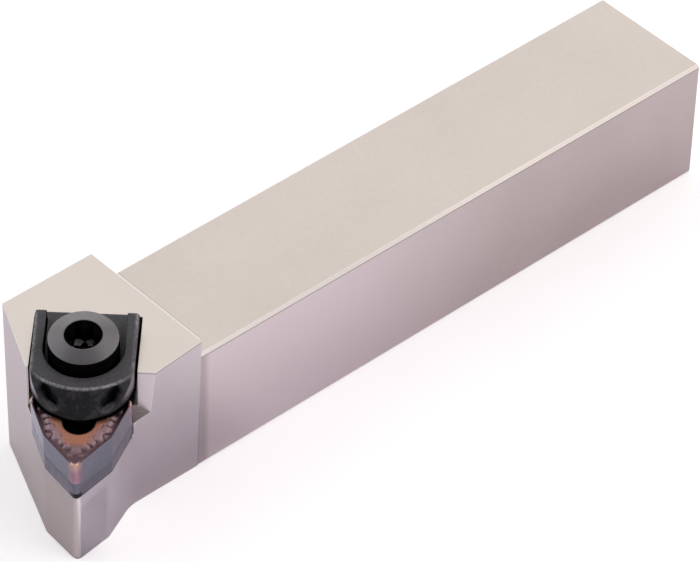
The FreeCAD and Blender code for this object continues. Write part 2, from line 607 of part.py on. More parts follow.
# The clamp screw: a wide, slightly domed head, a sunk six-lobed socket and a plain threaded part.
def make_clamp_screw():
    body = doc.addObject("PartDesign::Body", "clamp_screw")
    body.setExpression("Placement", shifted(SEAT, "-Sizes.screw_back", "0", "0"))
    profile = new_sketch(body, "ScrewProfile", "XZ_Plane")
    bed = "(Sizes.clamp_bed + Sizes.contact_gap)"
    rim = "(%s + Sizes.screw_head_height)" % bed
    top = "(%s + Sizes.screw_head_rise)" % rim
    head = "Sizes.screw_head_width / 2"
    stem = "Sizes.screw_width / 2"
    end = "-(Sizes.slot_depth + Sizes.screw_depth - 1)"
    edge = "Sizes.screw_head_edge"
    mouth = "Sizes.socket_mouth / 2"
    draw_outline(profile, [
        ("0", "%s - Sizes.socket_mouth_depth" % top),
        (mouth, "%s - Sizes.socket_mouth_depth" % top),
        (mouth, top),
        ("%s - %s" % (head, edge), rim),
        (head, "%s - %s" % (rim, edge)),
        (head, bed),
        (stem, bed),
        (stem, "%s + 1" % end),
        ("%s - 1" % stem, end),
        ("0", end)])
    turned = body.newObject("PartDesign::Revolution", "ScrewTurned")
    turned.Profile = profile
    turned.ReferenceAxis = (profile, ["V_Axis"])
    turned.Angle = 360
    sunk = "placement(vector(0; 0; %s - Sizes.socket_mouth_depth); rotation(0; 0; 0))" % top
    core_plan = new_sketch(body, "SocketCorePlan", "XY_Plane", sunk)
    core = "(Sizes.socket_width / 2 - Sizes.socket_lobe / 2)"
    draw_circle(core_plan, "0", "0", core)
    depth = "(Sizes.socket_depth - Sizes.socket_mouth_depth)"
    pocket(body, "SocketCore", core_plan, depth)
    lobe_plan = new_sketch(body, "SocketLobePlan", "XY_Plane", sunk)
    draw_circle(lobe_plan, "%s * cos(30 deg)" % core, "%s * sin(30 deg)" % core, "Sizes.socket_lobe / 2")
    lobe = pocket(body, "SocketLobe", lobe_plan, depth)
    doc.recompute()
    lobes = body.newObject("PartDesign::PolarPattern", "SocketLobes")
    lobes.Originals = [lobe]
    lobes.Axis = (origin_plane(body, "Z_Axis"), [""])
    lobes.Angle = 360
    lobes.Occurrences = 6
    body.Tip = lobes
    return body


# The spring round the screw, between the bottom of its pocket and the clamp's underside.
# It is a chain of half turns. Each is part of a ring that leans one way or the other, so that
# it starts and ends square to the cross-section; the first and last half turns lie flat. The
# wire's section has eight sides, as a round one of this size needs far too many faces.
SPRING_HALF_TURNS = 8


def make_spring():
    floor = "-(Sizes.slot_depth + Sizes.spring_pocket_depth)"
    roof = "(Sizes.contact_gap - Sizes.clamp_body_depth + Sizes.spring_roof_depth)"
    inset = "(Sizes.spring_wire / 2 + Sizes.contact_gap)"
    body = doc.addObject("PartDesign::Body", "clamp_spring")
    body.setExpression("Placement", shifted(SEAT, "-Sizes.screw_back", "0", "%s + %s" % (floor, inset)))
    rise = "((%s - %s - 2 * %s) / %d)" % (roof, floor, inset, SPRING_HALF_TURNS - 2)
    for i in range(SPRING_HALF_TURNS):
        flat = i == 0 or i == SPRING_HALF_TURNS - 1
        side = "1" if i % 2 == 0 else "-1"
        half_rise = "0" if flat else "(%s / 2)" % rise
        lower = max(i - 1, 0)
        level = "(%s * %d + %s)" % (rise, lower, half_rise)
        lean = "(atan(%s / (Sizes.spring_mean / 2)) / 1 deg)" % half_rise
        reach = "sqrt((Sizes.spring_mean / 2) ^ 2 + %s ^ 2)" % half_rise
        offset = "placement(vector(0; %s; 0); rotation(-(%s) * %s; 0; 0))" % (level, side, lean)
        section = new_sketch(body, "SpringSection%d" % i, "XZ_Plane", offset)
        draw_octagon(section, "%s * %s" % (side, reach), "0", "Sizes.spring_wire / 2")
        turn = body.newObject("PartDesign::Revolution", "SpringTurn%d" % i)
        turn.Profile = section
        turn.ReferenceAxis = (section, ["V_Axis"])
        turn.Angle = 180
    return body


SUB_PARTS = [
    make_holder(),
    make_shim(),
    make_shim_screw(),
    make_insert(),
    make_clamp(),
    make_clamp_screw(),
    make_spring(),
]
doc.recompute()
for item in doc.Objects:
    if "Invalid" in item.State or "Error" in item.State:
        raise RuntimeError("%s failed: %s" % (item.Name, item.State))
for part in SUB_PARTS:
    if part.Shape.isNull() or not part.Shape.isValid() or len(part.Shape.Solids) != 1:
        raise RuntimeError("%s has no single valid solid" % part.Label)
os.makedirs("parts", exist_ok=True)
for part in SUB_PARTS:
    part.Shape.exportStep("parts/%s.step" % part.Label)
    box = part.Shape.BoundBox
    print("%-16s volume %9.2f  box %s" % (part.Label, part.Shape.Volume, box))
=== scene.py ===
import math

import bmesh
import bpy
from mathutils import Matrix, Vector, noise


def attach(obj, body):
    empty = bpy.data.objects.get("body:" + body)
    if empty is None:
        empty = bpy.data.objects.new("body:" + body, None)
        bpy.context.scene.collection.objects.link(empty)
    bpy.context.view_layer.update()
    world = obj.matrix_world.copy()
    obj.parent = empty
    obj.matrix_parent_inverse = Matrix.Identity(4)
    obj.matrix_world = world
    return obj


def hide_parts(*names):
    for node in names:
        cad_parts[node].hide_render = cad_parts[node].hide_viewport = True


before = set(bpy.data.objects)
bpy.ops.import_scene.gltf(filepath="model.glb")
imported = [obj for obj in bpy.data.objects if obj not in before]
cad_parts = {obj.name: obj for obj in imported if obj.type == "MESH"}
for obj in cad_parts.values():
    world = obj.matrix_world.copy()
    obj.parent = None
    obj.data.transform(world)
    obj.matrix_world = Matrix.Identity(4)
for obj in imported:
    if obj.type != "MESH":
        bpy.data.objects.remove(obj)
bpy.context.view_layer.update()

scene = bpy.context.scene
MM = 0.001

# Pieces at the seat are drawn in millimetres in the seat's own directions: along to the nose,
# across to its left and up, from the middle of the insert's top face.
TURN = math.radians(46.25)
LEAN = math.radians(5.7)
ALONG = Vector((
    math.cos(LEAN) * math.cos(TURN), math.cos(LEAN) * math.sin(TURN), -math.sin(LEAN)))
ACROSS = Vector((-math.sin(TURN), math.cos(TURN), 0))
UP = ALONG.cross(ACROSS)
NOSE = Vector((32.0, 19.5, 25.0))
INSERT_CIRCLE = 6.35
INSERT_CORNER = 0.8
INSERT_THICK = 4.76
SHIM_THICK = 3.8
SCREW_BACK = 12.25
SEAT = NOSE - ALONG * (INSERT_CIRCLE / math.sin(math.radians(40)))
SEAT_FRAME = Matrix((
    (ALONG.x, ACROSS.x, UP.x, SEAT.x * MM),
    (ALONG.y, ACROSS.y, UP.y, SEAT.y * MM),
    (ALONG.z, ACROSS.z, UP.z, SEAT.z * MM),
    (0, 0, 0, 1)))
SCREW_FRAME = SEAT_FRAME @ Matrix.Translation((-SCREW_BACK * MM, 0, 0))

# Faces of the holder, in metres. The shank ends and the head begins at x = 0.
SHANK_TOP = 0.025
SHANK_SIDE = 0.0125
CHAMFER = 0.0005
HEAD_TOP = 0.0294


def smooth(low, high, value):
    t = min(max((value - low) / (high - low), 0.0), 1.0)
    return t * t * (3 - 2 * t)


class Nodes:
    """A node tree, with short calls that add a node and return its output socket."""

    def __init__(self, tree):
        self.tree = tree

    def add(self, kind, **settings):
        node = self.tree.nodes.new(kind)
        for key, value in settings.items():
            setattr(node, key, value)
        return node

    def link(self, source, target):
        self.tree.links.new(source, target)

    def feed(self, socket, value):
        if isinstance(value, (int, float, tuple)):
            socket.default_value = value
        else:
            self.link(value, socket)

    def math(self, operation, first, second=0.0):
        node = self.add("ShaderNodeMath", operation=operation)
        for socket, value in zip(node.inputs, (first, second)):
            self.feed(socket, value)
        return node.outputs[0]

    def chain(self, operation, first, *others):
        for other in others:
            first = self.math(operation, first, other)
        return first

    def product(self, *values):
        return self.chain("MULTIPLY", *values)

    def total(self, *values):
        return self.chain("ADD", *values)

    def largest(self, *values):
        return self.chain("MAXIMUM", *values)

    def radius(self, x, y):
        return self.math("SQRT", self.total(self.product(x, x), self.product(y, y)))

    def dot(self, vector, direction):
        node = self.add("ShaderNodeVectorMath", operation="DOT_PRODUCT")
        node.inputs[1].default_value = direction
        self.link(vector, node.inputs[0])
        return node.outputs["Value"]

    def parts(self, vector):
        node = self.add("ShaderNodeSeparateXYZ")
        self.link(vector, node.inputs[0])
        return node.outputs

    def span(self, value, low, high, to_low=0.0, to_high=1.0):
        """A smooth step from to_low, at low, up or down to to_high, at high."""
        node = self.add("ShaderNodeMapRange", interpolation_type="SMOOTHSTEP")
        self.link(value, node.inputs["Value"])
        limits = {"From Min": low, "From Max": high, "To Min": to_low, "To Max": to_high}
        for name, number in limits.items():
            node.inputs[name].default_value = number
        return node.outputs["Result"]

    def fall(self, value, low, high, peak=1.0):
        """peak below low, and nothing above high."""
        return self.span(value, low, high, peak, 0.0)

    def band(self, value, middle, core, edge, peak=1.0):
        """peak within core of the middle, and nothing past edge."""
        away = self.math("ABSOLUTE", self.math("SUBTRACT", value, middle))
        return self.fall(away, core, edge, peak)

    def ramp(self, value, stops):
        node = self.add("ShaderNodeValToRGB")
        elements = node.color_ramp.elements
        while len(elements) < len(stops):
            elements.new(0.5)
        for element, (position, color) in zip(elements, stops):
            element.position = position
            element.color = tuple(color) + (1.0,)
        self.link(value, node.inputs["Fac"])
        return node.outputs["Color"]

    def blend(self, factor, first, second):
        node = self.add("ShaderNodeMix", data_type="RGBA")
        self.feed(node.inputs[0], factor)
        for socket, value in ((node.inputs[6], first), (node.inputs[7], second)):
            self.feed(socket, value + (1.0,) if isinstance(value, tuple) else value)
        return node.outputs[2]

    def tinted(self, color, tints):
        """The colour with each tone laid over it in turn, by its mask."""
        for mask, tone in tints:
            color = self.blend(mask, color, tone)
        return color


class Surface(Nodes):
    """A material's tree. Its points are in the row frame, or in the frame that is given."""

    def __init__(self, name, metallic=0.0, specular=0.5, frame_of=None):
        self.material = bpy.data.materials.new(name)
        self.material.use_nodes = True
        super().__init__(self.material.node_tree)
        self.shader = self.tree.nodes["Principled BSDF"]
        self.set({"Metallic": metallic, "Specular IOR Level": specular})
        self.place = self.add("ShaderNodeTexCoord").outputs["Object"]
        if frame_of:
            turn = self.add("ShaderNodeMapping", vector_type="TEXTURE")
            turn.inputs["Location"].default_value = frame_of.to_translation()
            turn.inputs["Rotation"].default_value = frame_of.to_euler()
            self.link(self.place, turn.inputs["Vector"])
            self.place = turn.outputs["Vector"]

    def set(self, values):
        for name, value in values.items():
            self.shader.inputs[name].default_value = value

    def axes(self):
        return self.parts(self.place)

    def stretched(self, scale):
        node = self.add("ShaderNodeMapping")
        node.inputs["Scale"].default_value = scale
        self.link(self.place, node.inputs["Vector"])
        return node.outputs["Vector"]

    def noise(self, scale, detail, rough, vector=None):
        node = self.add("ShaderNodeTexNoise")
        for name, number in (("Scale", scale), ("Detail", detail), ("Roughness", rough)):
            node.inputs[name].default_value = number
        self.link(vector or self.place, node.inputs["Vector"])
        return node.outputs["Fac"]

    def bump(self, height, strength, distance, previous=None):
        node = self.add("ShaderNodeBump")
        node.inputs["Strength"].default_value = strength
        node.inputs["Distance"].default_value = distance
        self.link(height, node.inputs["Height"])
        if previous:
            self.link(previous, node.inputs["Normal"])
        return node.outputs["Normal"]

    def openness(self, distance, low, high, own=False):
        """How open the surface is to its surroundings: 0 in a corner, 1 in the clear."""
        node = self.add("ShaderNodeAmbientOcclusion", samples=8, only_local=own)
        node.inputs["Distance"].default_value = distance
        return self.span(node.outputs["AO"], low, high)

    def finish(self, color, rough, normal):
        for value, name in ((color, "Base Color"), (rough, "Roughness"), (normal, "Normal")):
            self.link(value, self.shader.inputs[name])
        return self.material


# Materials.
PLATING = ((0.60, 0.545, 0.50), (0.68, 0.615, 0.565), 0.36)
# The edge breaks' paler plating is a painted highlight.
PAINTED_EDGE_HIGHLIGHT = ((0.90, 0.84, 0.80), (0.97, 0.92, 0.88), 0.34)
CARBIDE_COAT = {"Coat Weight": 0.8, "Coat IOR": 1.6, "Coat Roughness": 0.2}


def nickel(name, low, high, rough):
    """Satin plating, with painted shade in its corners, painted reflection tints, and thin painted
    highlight and shade lines placed for one view.
    """
    m = Surface(name, metallic=1.0)
    fine = m.noise(1500, 4, 0.7)
    cloud = m.noise(45, 4, 0.6)
    tint = m.total(m.product(fine, 0.45), m.product(cloud, 0.55))
    color = m.ramp(tint, [(0.32, low), (0.68, high)])
    # Painted shade: darker where the surface is closed in by its own corners.
    color = m.blend(m.openness(0.006, 0.30, 0.72, own=True), (0.07, 0.06, 0.052), color)
    x, y, z = m.axes()
    shank = m.fall(x, -0.0002, 0.0)
    side = m.span(y, SHANK_SIDE - 0.00015, SHANK_SIDE - 0.00005)
    shank_side = m.product(side, shank)
    # Two thin painted lines on the shank's top, just behind the head's outline as the camera sees
    # it: a painted shade line, and a painted highlight that stands in for the head's rear edge
    # shining. They stop at the head's corner.
    painted_edge_lines = m.product(m.span(z, SHANK_TOP - 0.0002, SHANK_TOP - 0.0001), m.fall(y, 0.0093, 0.0097))
    head_top = m.span(z, HEAD_TOP - 0.00015, HEAD_TOP - 0.00005)
    # The head's sides to the right of the nose, and the block under the insert, which take painted
    # reflection tints.
    to_nose_line = m.product(m.math("SUBTRACT", 0.01333, x), -ACROSS.x)
    across = m.total(to_nose_line, m.product(y, ACROSS.y))
    elsewhere = m.math("SUBTRACT", 1.0, m.largest(shank, head_top))
    right = m.product(m.span(across, 0.0, 0.0004), elsewhere)
    block = m.product(m.fall(across, 0.0035, 0.0095), right)
    chamfer = m.product(
        m.span(z, SHANK_TOP - CHAMFER - 0.00005, SHANK_TOP - CHAMFER + 0.00002),
        m.span(y, SHANK_SIDE - CHAMFER - 0.00002, SHANK_SIDE - CHAMFER + 0.00002))
    color = m.tinted(color, (
        # Painted shade line, then painted highlight line, behind the head.
        (m.product(painted_edge_lines, m.band(x, -0.00342, 0.00003, 0.00014, 0.4)), (0.38, 0.34, 0.31)),
        (m.product(painted_edge_lines, m.band(x, -0.00315, 0.00005, 0.00017, 0.8)), (0.95, 0.90, 0.86)),
        # Painted reflection tints on the shank's side, the head's top, its right-hand sides and the
        # block.
        (m.product(shank_side, m.span(x, -0.085, -0.02), 0.9), (0.77, 0.71, 0.70)),
        (m.product(head_top, 0.45), (0.74, 0.68, 0.635)),
        (m.product(right, 0.9), (0.71, 0.67, 0.67)),
        (m.product(block, 0.8), (0.82, 0.80, 0.80)),
        # Painted shade: darker towards the bottom of the head's right-hand sides.
        (m.product(m.fall(z, 0.0, 0.012, 0.32), right), (0.48, 0.44, 0.44)),
        # Painted shade on the shank's chamfer, stronger towards the head.
        (m.product(chamfer, shank, m.span(x, -0.08, -0.02, 0.35, 1.0)), (0.47, 0.44, 0.41)),
        # Painted shade lines under the shank's chamfer and under the head's top edge.
        (m.product(m.band(z, 0.02438, 0.00004, 0.00014, 0.75), shank_side), (0.20, 0.17, 0.16)),
        (m.product(m.band(z, 0.02918, 0.00004, 0.00015, 0.7), side), (0.22, 0.19, 0.18)),
        # Painted shade on the shank's side beside the head.
        (m.product(m.span(x, -0.0030, -0.0012), shank_side, 0.5), (0.36, 0.30, 0.29))))
    return m.finish(
        color, m.span(cloud, 0.3, 0.7, rough - 0.03, rough + 0.04), m.bump(fine, 0.3, 0.00003))


def forging():
    """Blackened forging: lighter where it faces up, with a painted sheen on its outer sides,
    painted black shade inside, at its foot, in hollows and in corners, and a painted highlight
    along its lip.
    """
    m = Surface("forging", frame_of=SEAT_FRAME)
    grain = m.noise(1900, 5, 0.75)
    pits = m.noise(700, 3, 0.65)
    patches = m.span(m.noise(330, 3, 0.6), 0.42, 0.66)
    x, y, z = m.axes()
    across = m.math("ABSOLUTE", y)
    facing = m.dot(m.add("ShaderNodeTexCoord").outputs["Normal"], UP)
    upright = m.fall(facing, 0.15, 0.5)
    left_to_right = (y, -0.001, 0.001)

    matt = m.ramp(grain, [
        (0.35, (0.004, 0.0035, 0.005)), (0.58, (0.008, 0.007, 0.0095)),
        (0.78, (0.045, 0.043, 0.046))])
    lighter_facing_up = m.ramp(grain, [(0.35, (0.040, 0.038, 0.041)), (0.65, (0.070, 0.067, 0.071))])
    # Coordinates along and over the slanting hollows on both sides of the front.
    along = m.product(m.math("SUBTRACT", x, across), 0.7071)
    over = m.product(m.total(x, across), 0.7071)
    # Painted shade: near black in the slanting hollows.
    hollow_shade = m.product(
        m.span(along, -0.0081, -0.0072), m.fall(along, -0.0044, -0.0036),
        m.band(over, 0.0014, 0.0002, 0.0010))
    # Painted highlight on the swelling below each hollow, stronger on the left.
    swelling_highlight = m.product(
        m.span(along, -0.0070, -0.0060), m.fall(along, -0.0042, -0.0034),
        m.band(over, 0.0023, 0.0001, 0.0009, 0.7), m.span(*left_to_right, 1.0, 0.25))
    color = m.tinted(matt, (
        (m.product(patches, 0.28), (0.026, 0.025, 0.029)),
        (m.span(pits, 0.52, 0.68, 0.0, 0.5), (0.042, 0.040, 0.044)),
        (hollow_shade, (0.0015, 0.0014, 0.002)),
        (swelling_highlight, (0.045, 0.045, 0.047)),
        (m.span(facing, 0.76, 0.95), lighter_facing_up)))

    # Painted sheen on the outer sides, paler on the left than on the right.
    outside = m.product(
        m.span(across, 0.0066, 0.0080), m.span(z, 0.0012, 0.0022), m.span(x, -0.0085, -0.0070))
    side_sheen = m.blend(m.span(*left_to_right), (0.34, 0.31, 0.345), (0.14, 0.13, 0.148))
    # Painted shade: black on the inner walls and at the foot.
    inside = m.product(
        m.fall(across, 0.0070, 0.0076), m.fall(facing, 0.45, 0.85), m.fall(x, -0.0085, -0.0078))
    foot = m.product(upright, m.fall(z, 0.0006, 0.0010))
    black_shade = m.largest(inside, foot)
    color = m.tinted(color, (
        (m.product(upright, outside), side_sheen),
        (black_shade, (0.0015, 0.0015, 0.0015))))

    from_middle = m.radius(m.total(x, 0.0148), y)
    # Painted highlight along the lip's arc and the outer top edges, broken by the grain.
    lip_line = m.product(
        m.band(from_middle, 0.01165, 0.00005, 0.00034), m.span(z, 0.0035, 0.0042),
        m.span(across, 0.0060, 0.0082, 1.0, 0.25))
    side_line = m.product(
        m.span(across, 0.00785, 0.0084), m.span(z, 0.0036, 0.0042),
        m.span(patches, 0.0, 0.8, 0.25, 0.9))
    # Painted shade: near black where nearby surfaces close the clamp in.
    color = m.blend(m.openness(0.004, 0.22, 0.62), (0.002, 0.002, 0.002), color)
    lip_glint = m.product(m.largest(lip_line, side_line), m.span(grain, 0.40, 0.60, 0.35, 1.0))
    color = m.blend(lip_glint, color, (0.27, 0.26, 0.27))
    shine = m.product(m.math("SUBTRACT", 1.0, m.largest(black_shade, hollow_shade)), 0.28)
    m.link(shine, m.shader.inputs["Specular IOR Level"])
    normal = m.bump(grain, 0.55, 0.00006, m.bump(pits, 0.5, 0.00012))
    return m.finish(color, m.span(grain, 0.3, 0.7, 0.42, 0.62), normal)


def turned():
    """Blackened steel with fine rings round the screw's axis."""
    m = Surface("turned_black", frame_of=SCREW_FRAME)
    m.set({"IOR": 2.0})
    x, y, z = m.axes()
    rings = m.math("SINE", m.product(m.radius(x, y), 45000.0))
    fine = m.noise(900, 3, 0.6)
    cloud = m.noise(180, 3, 0.5)
    color = m.ramp(cloud, [(0.3, (0.034, 0.027, 0.032)), (0.7, (0.044, 0.036, 0.042))])
    normal = m.bump(rings, 0.05, 0.00001, m.bump(fine, 0.15, 0.00002))
    return m.finish(color, m.span(fine, 0.3, 0.7, 0.26, 0.34), normal)


def grained(m, grain, tones, rough, bump):
    """The surface with one grain that moves its tone, its roughness and its height."""
    fine = m.noise(*grain)
    color = m.ramp(fine, [(0.3, tones[0]), (0.7, tones[1])])
    return m.finish(color, m.span(fine, 0.3, 0.7, *rough), m.bump(fine, *bump))


# Painted light: a lit, paler copy of the screw's steel for the socket's floor.
def socket_floor_lit():
    return grained(
        Surface("socket_floor_lit", metallic=0.2, specular=0.6), (1400, 3, 0.6),
        ((0.16, 0.16, 0.165), (0.26, 0.26, 0.27)), (0.4, 0.6), (0.3, 0.00004))


# Painted shade: black steel for the socket's walls, the head's side and the socket's bottom.
def socket_shade_black():
    return grained(
        Surface("socket_shade_black", specular=0.0), (1400, 3, 0.6),
        ((0.001, 0.001, 0.001), (0.004, 0.004, 0.004)), (0.6, 0.8), (0.3, 0.00004))


def wire_steel():
    return grained(
        Surface("wire_steel", metallic=1.0), (900, 3, 0.5),
        ((0.40, 0.40, 0.41), (0.5, 0.5, 0.51)), (0.25, 0.4), (0.2, 0.00003))


def nose_share(m, x, y):
    """How near a point's bearing lies to one of the insert's three noses, from -1 to 1."""
    return m.math("COSINE", m.product(m.math("ARCTAN2", y, x), 3.0))


def insert_top():
    """Coated carbide: copper round the hole and mauve further out, its own tones, painted darker
    with depth below the face as shade in the grooves.
    """
    m = Surface("insert_top", metallic=0.65, frame_of=SEAT_FRAME)
    x, y, z = m.axes()
    half = INSERT_THICK * MM / 2
    below = m.math("SUBTRACT", half, m.math("ABSOLUTE", m.total(z, half)))
    cloud = m.noise(700, 3, 0.6)
    fine = m.noise(2600, 4, 0.7)
    depth = m.total(m.product(below, 1000.0), m.product(m.math("SUBTRACT", cloud, 0.5), 0.12))
    copper = m.ramp(depth, [
        (0.0, (0.40, 0.165, 0.10)), (0.04, (0.32, 0.15, 0.115)), (0.10, (0.215, 0.135, 0.15)),
        (0.22, (0.16, 0.095, 0.11)), (0.34, (0.09, 0.05, 0.06))])
    mauve = m.ramp(depth, [
        (0.0, (0.30, 0.19, 0.205)), (0.12, (0.24, 0.155, 0.17)), (0.34, (0.09, 0.05, 0.06))])
    outward = m.math("SUBTRACT", m.radius(x, y), m.product(nose_share(m, x, y), 0.0009))
    color = m.blend(m.span(outward, 0.0038, 0.0053), copper, mauve)
    # Painted shade: near black under the clamp's edge and in the hole.
    color = m.blend(m.openness(0.0045, 0.42, 0.74), (0.004, 0.002, 0.002), color)
    normal = m.bump(fine, 0.2, 0.00002, m.bump(cloud, 0.2, 0.00006))
    return m.finish(color, m.span(fine, 0.3, 0.7, 0.26, 0.38), normal)


def insert_land():
    """The narrow land along the cutting edge, dark, with a bright coppery painted highlight at the
    noses.
    """
    m = Surface("insert_land", metallic=1.0, frame_of=SEAT_FRAME)
    x, y, z = m.axes()
    fine = m.noise(2600, 4, 0.7)
    plain = m.ramp(fine, [(0.3, (0.10, 0.06, 0.07)), (0.7, (0.15, 0.095, 0.105))])
    # Painted highlight: bright copper at each nose.
    nose = m.span(nose_share(m, x, y), 0.955, 0.995)
    color = m.blend(nose, plain, (0.80, 0.50, 0.38))
    # Painted shade: near black where nearby surfaces close the land in.
    color = m.blend(m.openness(0.0045, 0.30, 0.60), (0.004, 0.002, 0.002), color)
    return m.finish(color, m.span(fine, 0.3, 0.7, 0.25, 0.38), m.bump(fine, 0.3, 0.00003))


def insert_flank():
    """Blue-grey flanks, with copper and rose down each nose."""
    m = Surface("insert_flank", metallic=1.0, frame_of=SEAT_FRAME)
    m.set(CARBIDE_COAT)
    x, y, z = m.axes()
    fine = m.noise(2200, 4, 0.7)
    cloud = m.noise(260, 3, 0.5)
    plain = m.ramp(cloud, [(0.3, (0.134, 0.149, 0.192)), (0.7, (0.164, 0.178, 0.224))])
    nose = m.span(nose_share(m, x, y), 0.88, 1.0, 0.0, 0.85)
    drop = m.product(z, -1 / (INSERT_THICK * MM))
    heat = m.ramp(drop, [
        (0.0, (0.60, 0.34, 0.26)), (0.25, (0.52, 0.28, 0.25)), (0.45, (0.36, 0.16, 0.20)),
        (0.8, (0.36, 0.16, 0.22)), (0.95, (0.42, 0.20, 0.25))])
    color = m.blend(nose, plain, heat)
    return m.finish(color, m.span(fine, 0.3, 0.7, 0.26, 0.4), m.bump(fine, 0.3, 0.00003))


def ground_carbide():
    """The shim: ground grey, with painted black shade at the foot of each nose."""
    m = Surface("ground_carbide", metallic=1.0, frame_of=SEAT_FRAME)
    m.set(CARBIDE_COAT)
    x, y, z = m.axes()
    lines = m.noise(900, 4, 0.6, m.stretched((1, 1, 0.15)))
    cloud = m.noise(300, 3, 0.5)
    low = (-INSERT_THICK - SHIM_THICK) * MM
    at_nose = m.span(nose_share(m, x, y), 0.93, 0.96)
    # Painted shade: black at the foot of each nose.
    gap = m.product(at_nose, m.fall(z, low + 0.0011, low + 0.0013))
    color = m.ramp(cloud, [(0.3, (0.097, 0.099, 0.131)), (0.7, (0.122, 0.125, 0.158))])
    color = m.blend(gap, color, (0.004, 0.004, 0.004))
    coat = m.product(m.math("SUBTRACT", 1.0, gap), CARBIDE_COAT["Coat Weight"])
    m.link(coat, m.shader.inputs["Coat Weight"])
    return m.finish(color, m.span(lines, 0.3, 0.7, 0.28, 0.42), m.bump(lines, 0.25, 0.00004))


# Pieces at the seat are skins through rings of points.
def skin(name, rings, slots, angle, origin=SEAT_FRAME):
    """A skin through the rings, in the row frame; slots gives each ring's material index.

    It closes from the last ring to the first, or with two flat ends where the last slot is None.
    """
    bm = bmesh.new()
    loops = [[bm.verts.new(Vector(point) * MM) for point in ring] for ring in rings]
    count = len(rings[0])
    for slot, near, far in zip(slots, loops, loops[1:] + loops[:1]):
        if slot is None:
            continue
        for i in range(count):
            j = (i + 1) % count
            face = bm.faces.new((near[i], near[j], far[j], far[i]))
            face.material_index = slot
    if slots[-1] is None:
        bm.faces.new(loops[0])
        bm.faces.new(loops[-1])
    bmesh.ops.recalc_face_normals(bm, faces=bm.faces)
    mesh = bpy.data.meshes.new(name)
    bm.to_mesh(mesh)
    bm.free()
    mesh.transform(origin)
    mesh.polygons.foreach_set("use_smooth", [True] * len(mesh.polygons))
    mesh.set_sharp_from_angle(angle=math.radians(angle))
    piece = bpy.data.objects.new(name, mesh)
    scene.collection.objects.link(piece)
    return piece


# The trigon's outline and everything that follows it.
SIDE = math.radians(50)
THIRD = 2 * math.pi / 3
CORNER_MIDDLE = (INSERT_CIRCLE - INSERT_CORNER) / math.cos(SIDE)
CORNER_STEPS = 6
EDGE_STEPS = 40
SHARP_ANGLE = 50


def folded(angle):
    """The angle from the nearest nose, as all three corners are alike and even-sided."""
    return abs((angle + THIRD / 2) % THIRD - THIRD / 2)


def reach(angle, inset):
    """How far the outline, drawn in by an inset, lies from the middle at an angle."""
    a = folded(angle)
    corner = max(INSERT_CORNER - inset, 0.0)
    touch = math.atan2(corner * math.sin(SIDE), CORNER_MIDDLE + corner * math.cos(SIDE))
    if a < touch:
        across = CORNER_MIDDLE * math.sin(a)
        return CORNER_MIDDLE * math.cos(a) + math.sqrt(corner ** 2 - across ** 2)
    return (INSERT_CIRCLE - inset) / math.cos(a - SIDE)


def outline_angles():
    """Angles of the outline's points: close round each nose, and even along its two edges."""
    half = []
    for i in range(CORNER_STEPS + 1):
        turn = SIDE * i / CORNER_STEPS
        x = CORNER_MIDDLE + INSERT_CORNER * math.cos(turn)
        half.append(math.atan2(INSERT_CORNER * math.sin(turn), x))
    start, end = (
        Vector((math.cos(a), math.sin(a))) * reach(a, 0) for a in (half[-1], THIRD / 2))
    for i in range(1, EDGE_STEPS + 1):
        point = start.lerp(end, i / EDGE_STEPS)
        half.append(math.atan2(point.y, point.x))
    one = [-a for a in reversed(half[1:-1])] + half
    return [a + k * THIRD for k in range(3) for a in one]


ANGLES = outline_angles()


def circle_ring(radius, level):
    return [(radius * math.cos(a), radius * math.sin(a), level) for a in ANGLES]


def outline_ring(inset, level):
    """The outline, drawn in by an inset, at one level."""
    return [(reach(a, inset) * math.cos(a), reach(a, inset) * math.sin(a), level) for a in ANGLES]


# Bumps of the chip breaker: along, across, radius and rise, for one half of a corner.
BUMPS = (
    (3.35, 3.45, 1.05, 0.24), (2.80, 4.80, 0.62, 0.14), (4.35, 2.45, 0.75, 0.18),
    (5.35, 1.75, 0.70, 0.16), (7.05, 0.95, 0.50, 0.13), (6.3, 0.0, 0.9, 0.12))
# Dark creases between the bumps: two ends and a half width, then how deep.
CREASES = (
    (2.60, 4.10, 3.65, 4.45, 0.19, 0.15), (3.55, 2.65, 4.15, 3.25, 0.15, 0.16),
    (4.55, 1.75, 5.2, 2.45, 0.15, 0.16), (5.8, 0.8, 6.3, 1.5, 0.14, 0.10),
    (2.75, 2.9, 3.1, 2.5, 0.2, 0.14))
BREAKER_DEPTH = 0.30
LAND_WIDTH = 0.14
NOSE_LAND = 0.42
NOSE_TIP = 9.43


def crease_gap(x, y, ax, ay, bx, by):
    """Distance from a point to the straight line between two ends."""
    dx, dy = bx - ax, by - ay
    share = min(max(((x - ax) * dx + (y - ay) * dy) / (dx * dx + dy * dy), 0.0), 1.0)
    return math.hypot(x - ax - share * dx, y - ay - share * dy)


def breaker(angle, radius, edge):
    """Height of the chip breaker at a point, where edge is its distance to the outline."""
    a = folded(angle)
    x, y = radius * math.cos(a), radius * math.sin(a)
    land = LAND_WIDTH + NOSE_LAND * math.exp(-(math.hypot(x - NOSE_TIP, y) / 1.1) ** 2)
    floor = smooth(land, land + 0.55, edge)
    plateau = smooth(0.9, 2.3, edge) * (1 - smooth(4.5, 7.0, x))
    height = -BREAKER_DEPTH * floor * (1 - plateau)
    for bx, by, size, rise in BUMPS:
        gap = math.hypot(x - bx, y - by) / size
        if gap < 1:
            height += rise * (1 - gap * gap) ** 1.2
    for ax, ay, bx, by, size, fall in CREASES:
        gap = crease_gap(x, y, ax, ay, bx, by) / size
        if gap < 1:
            height -= fall * (1 - gap * gap)
    return min(height, 0.0)


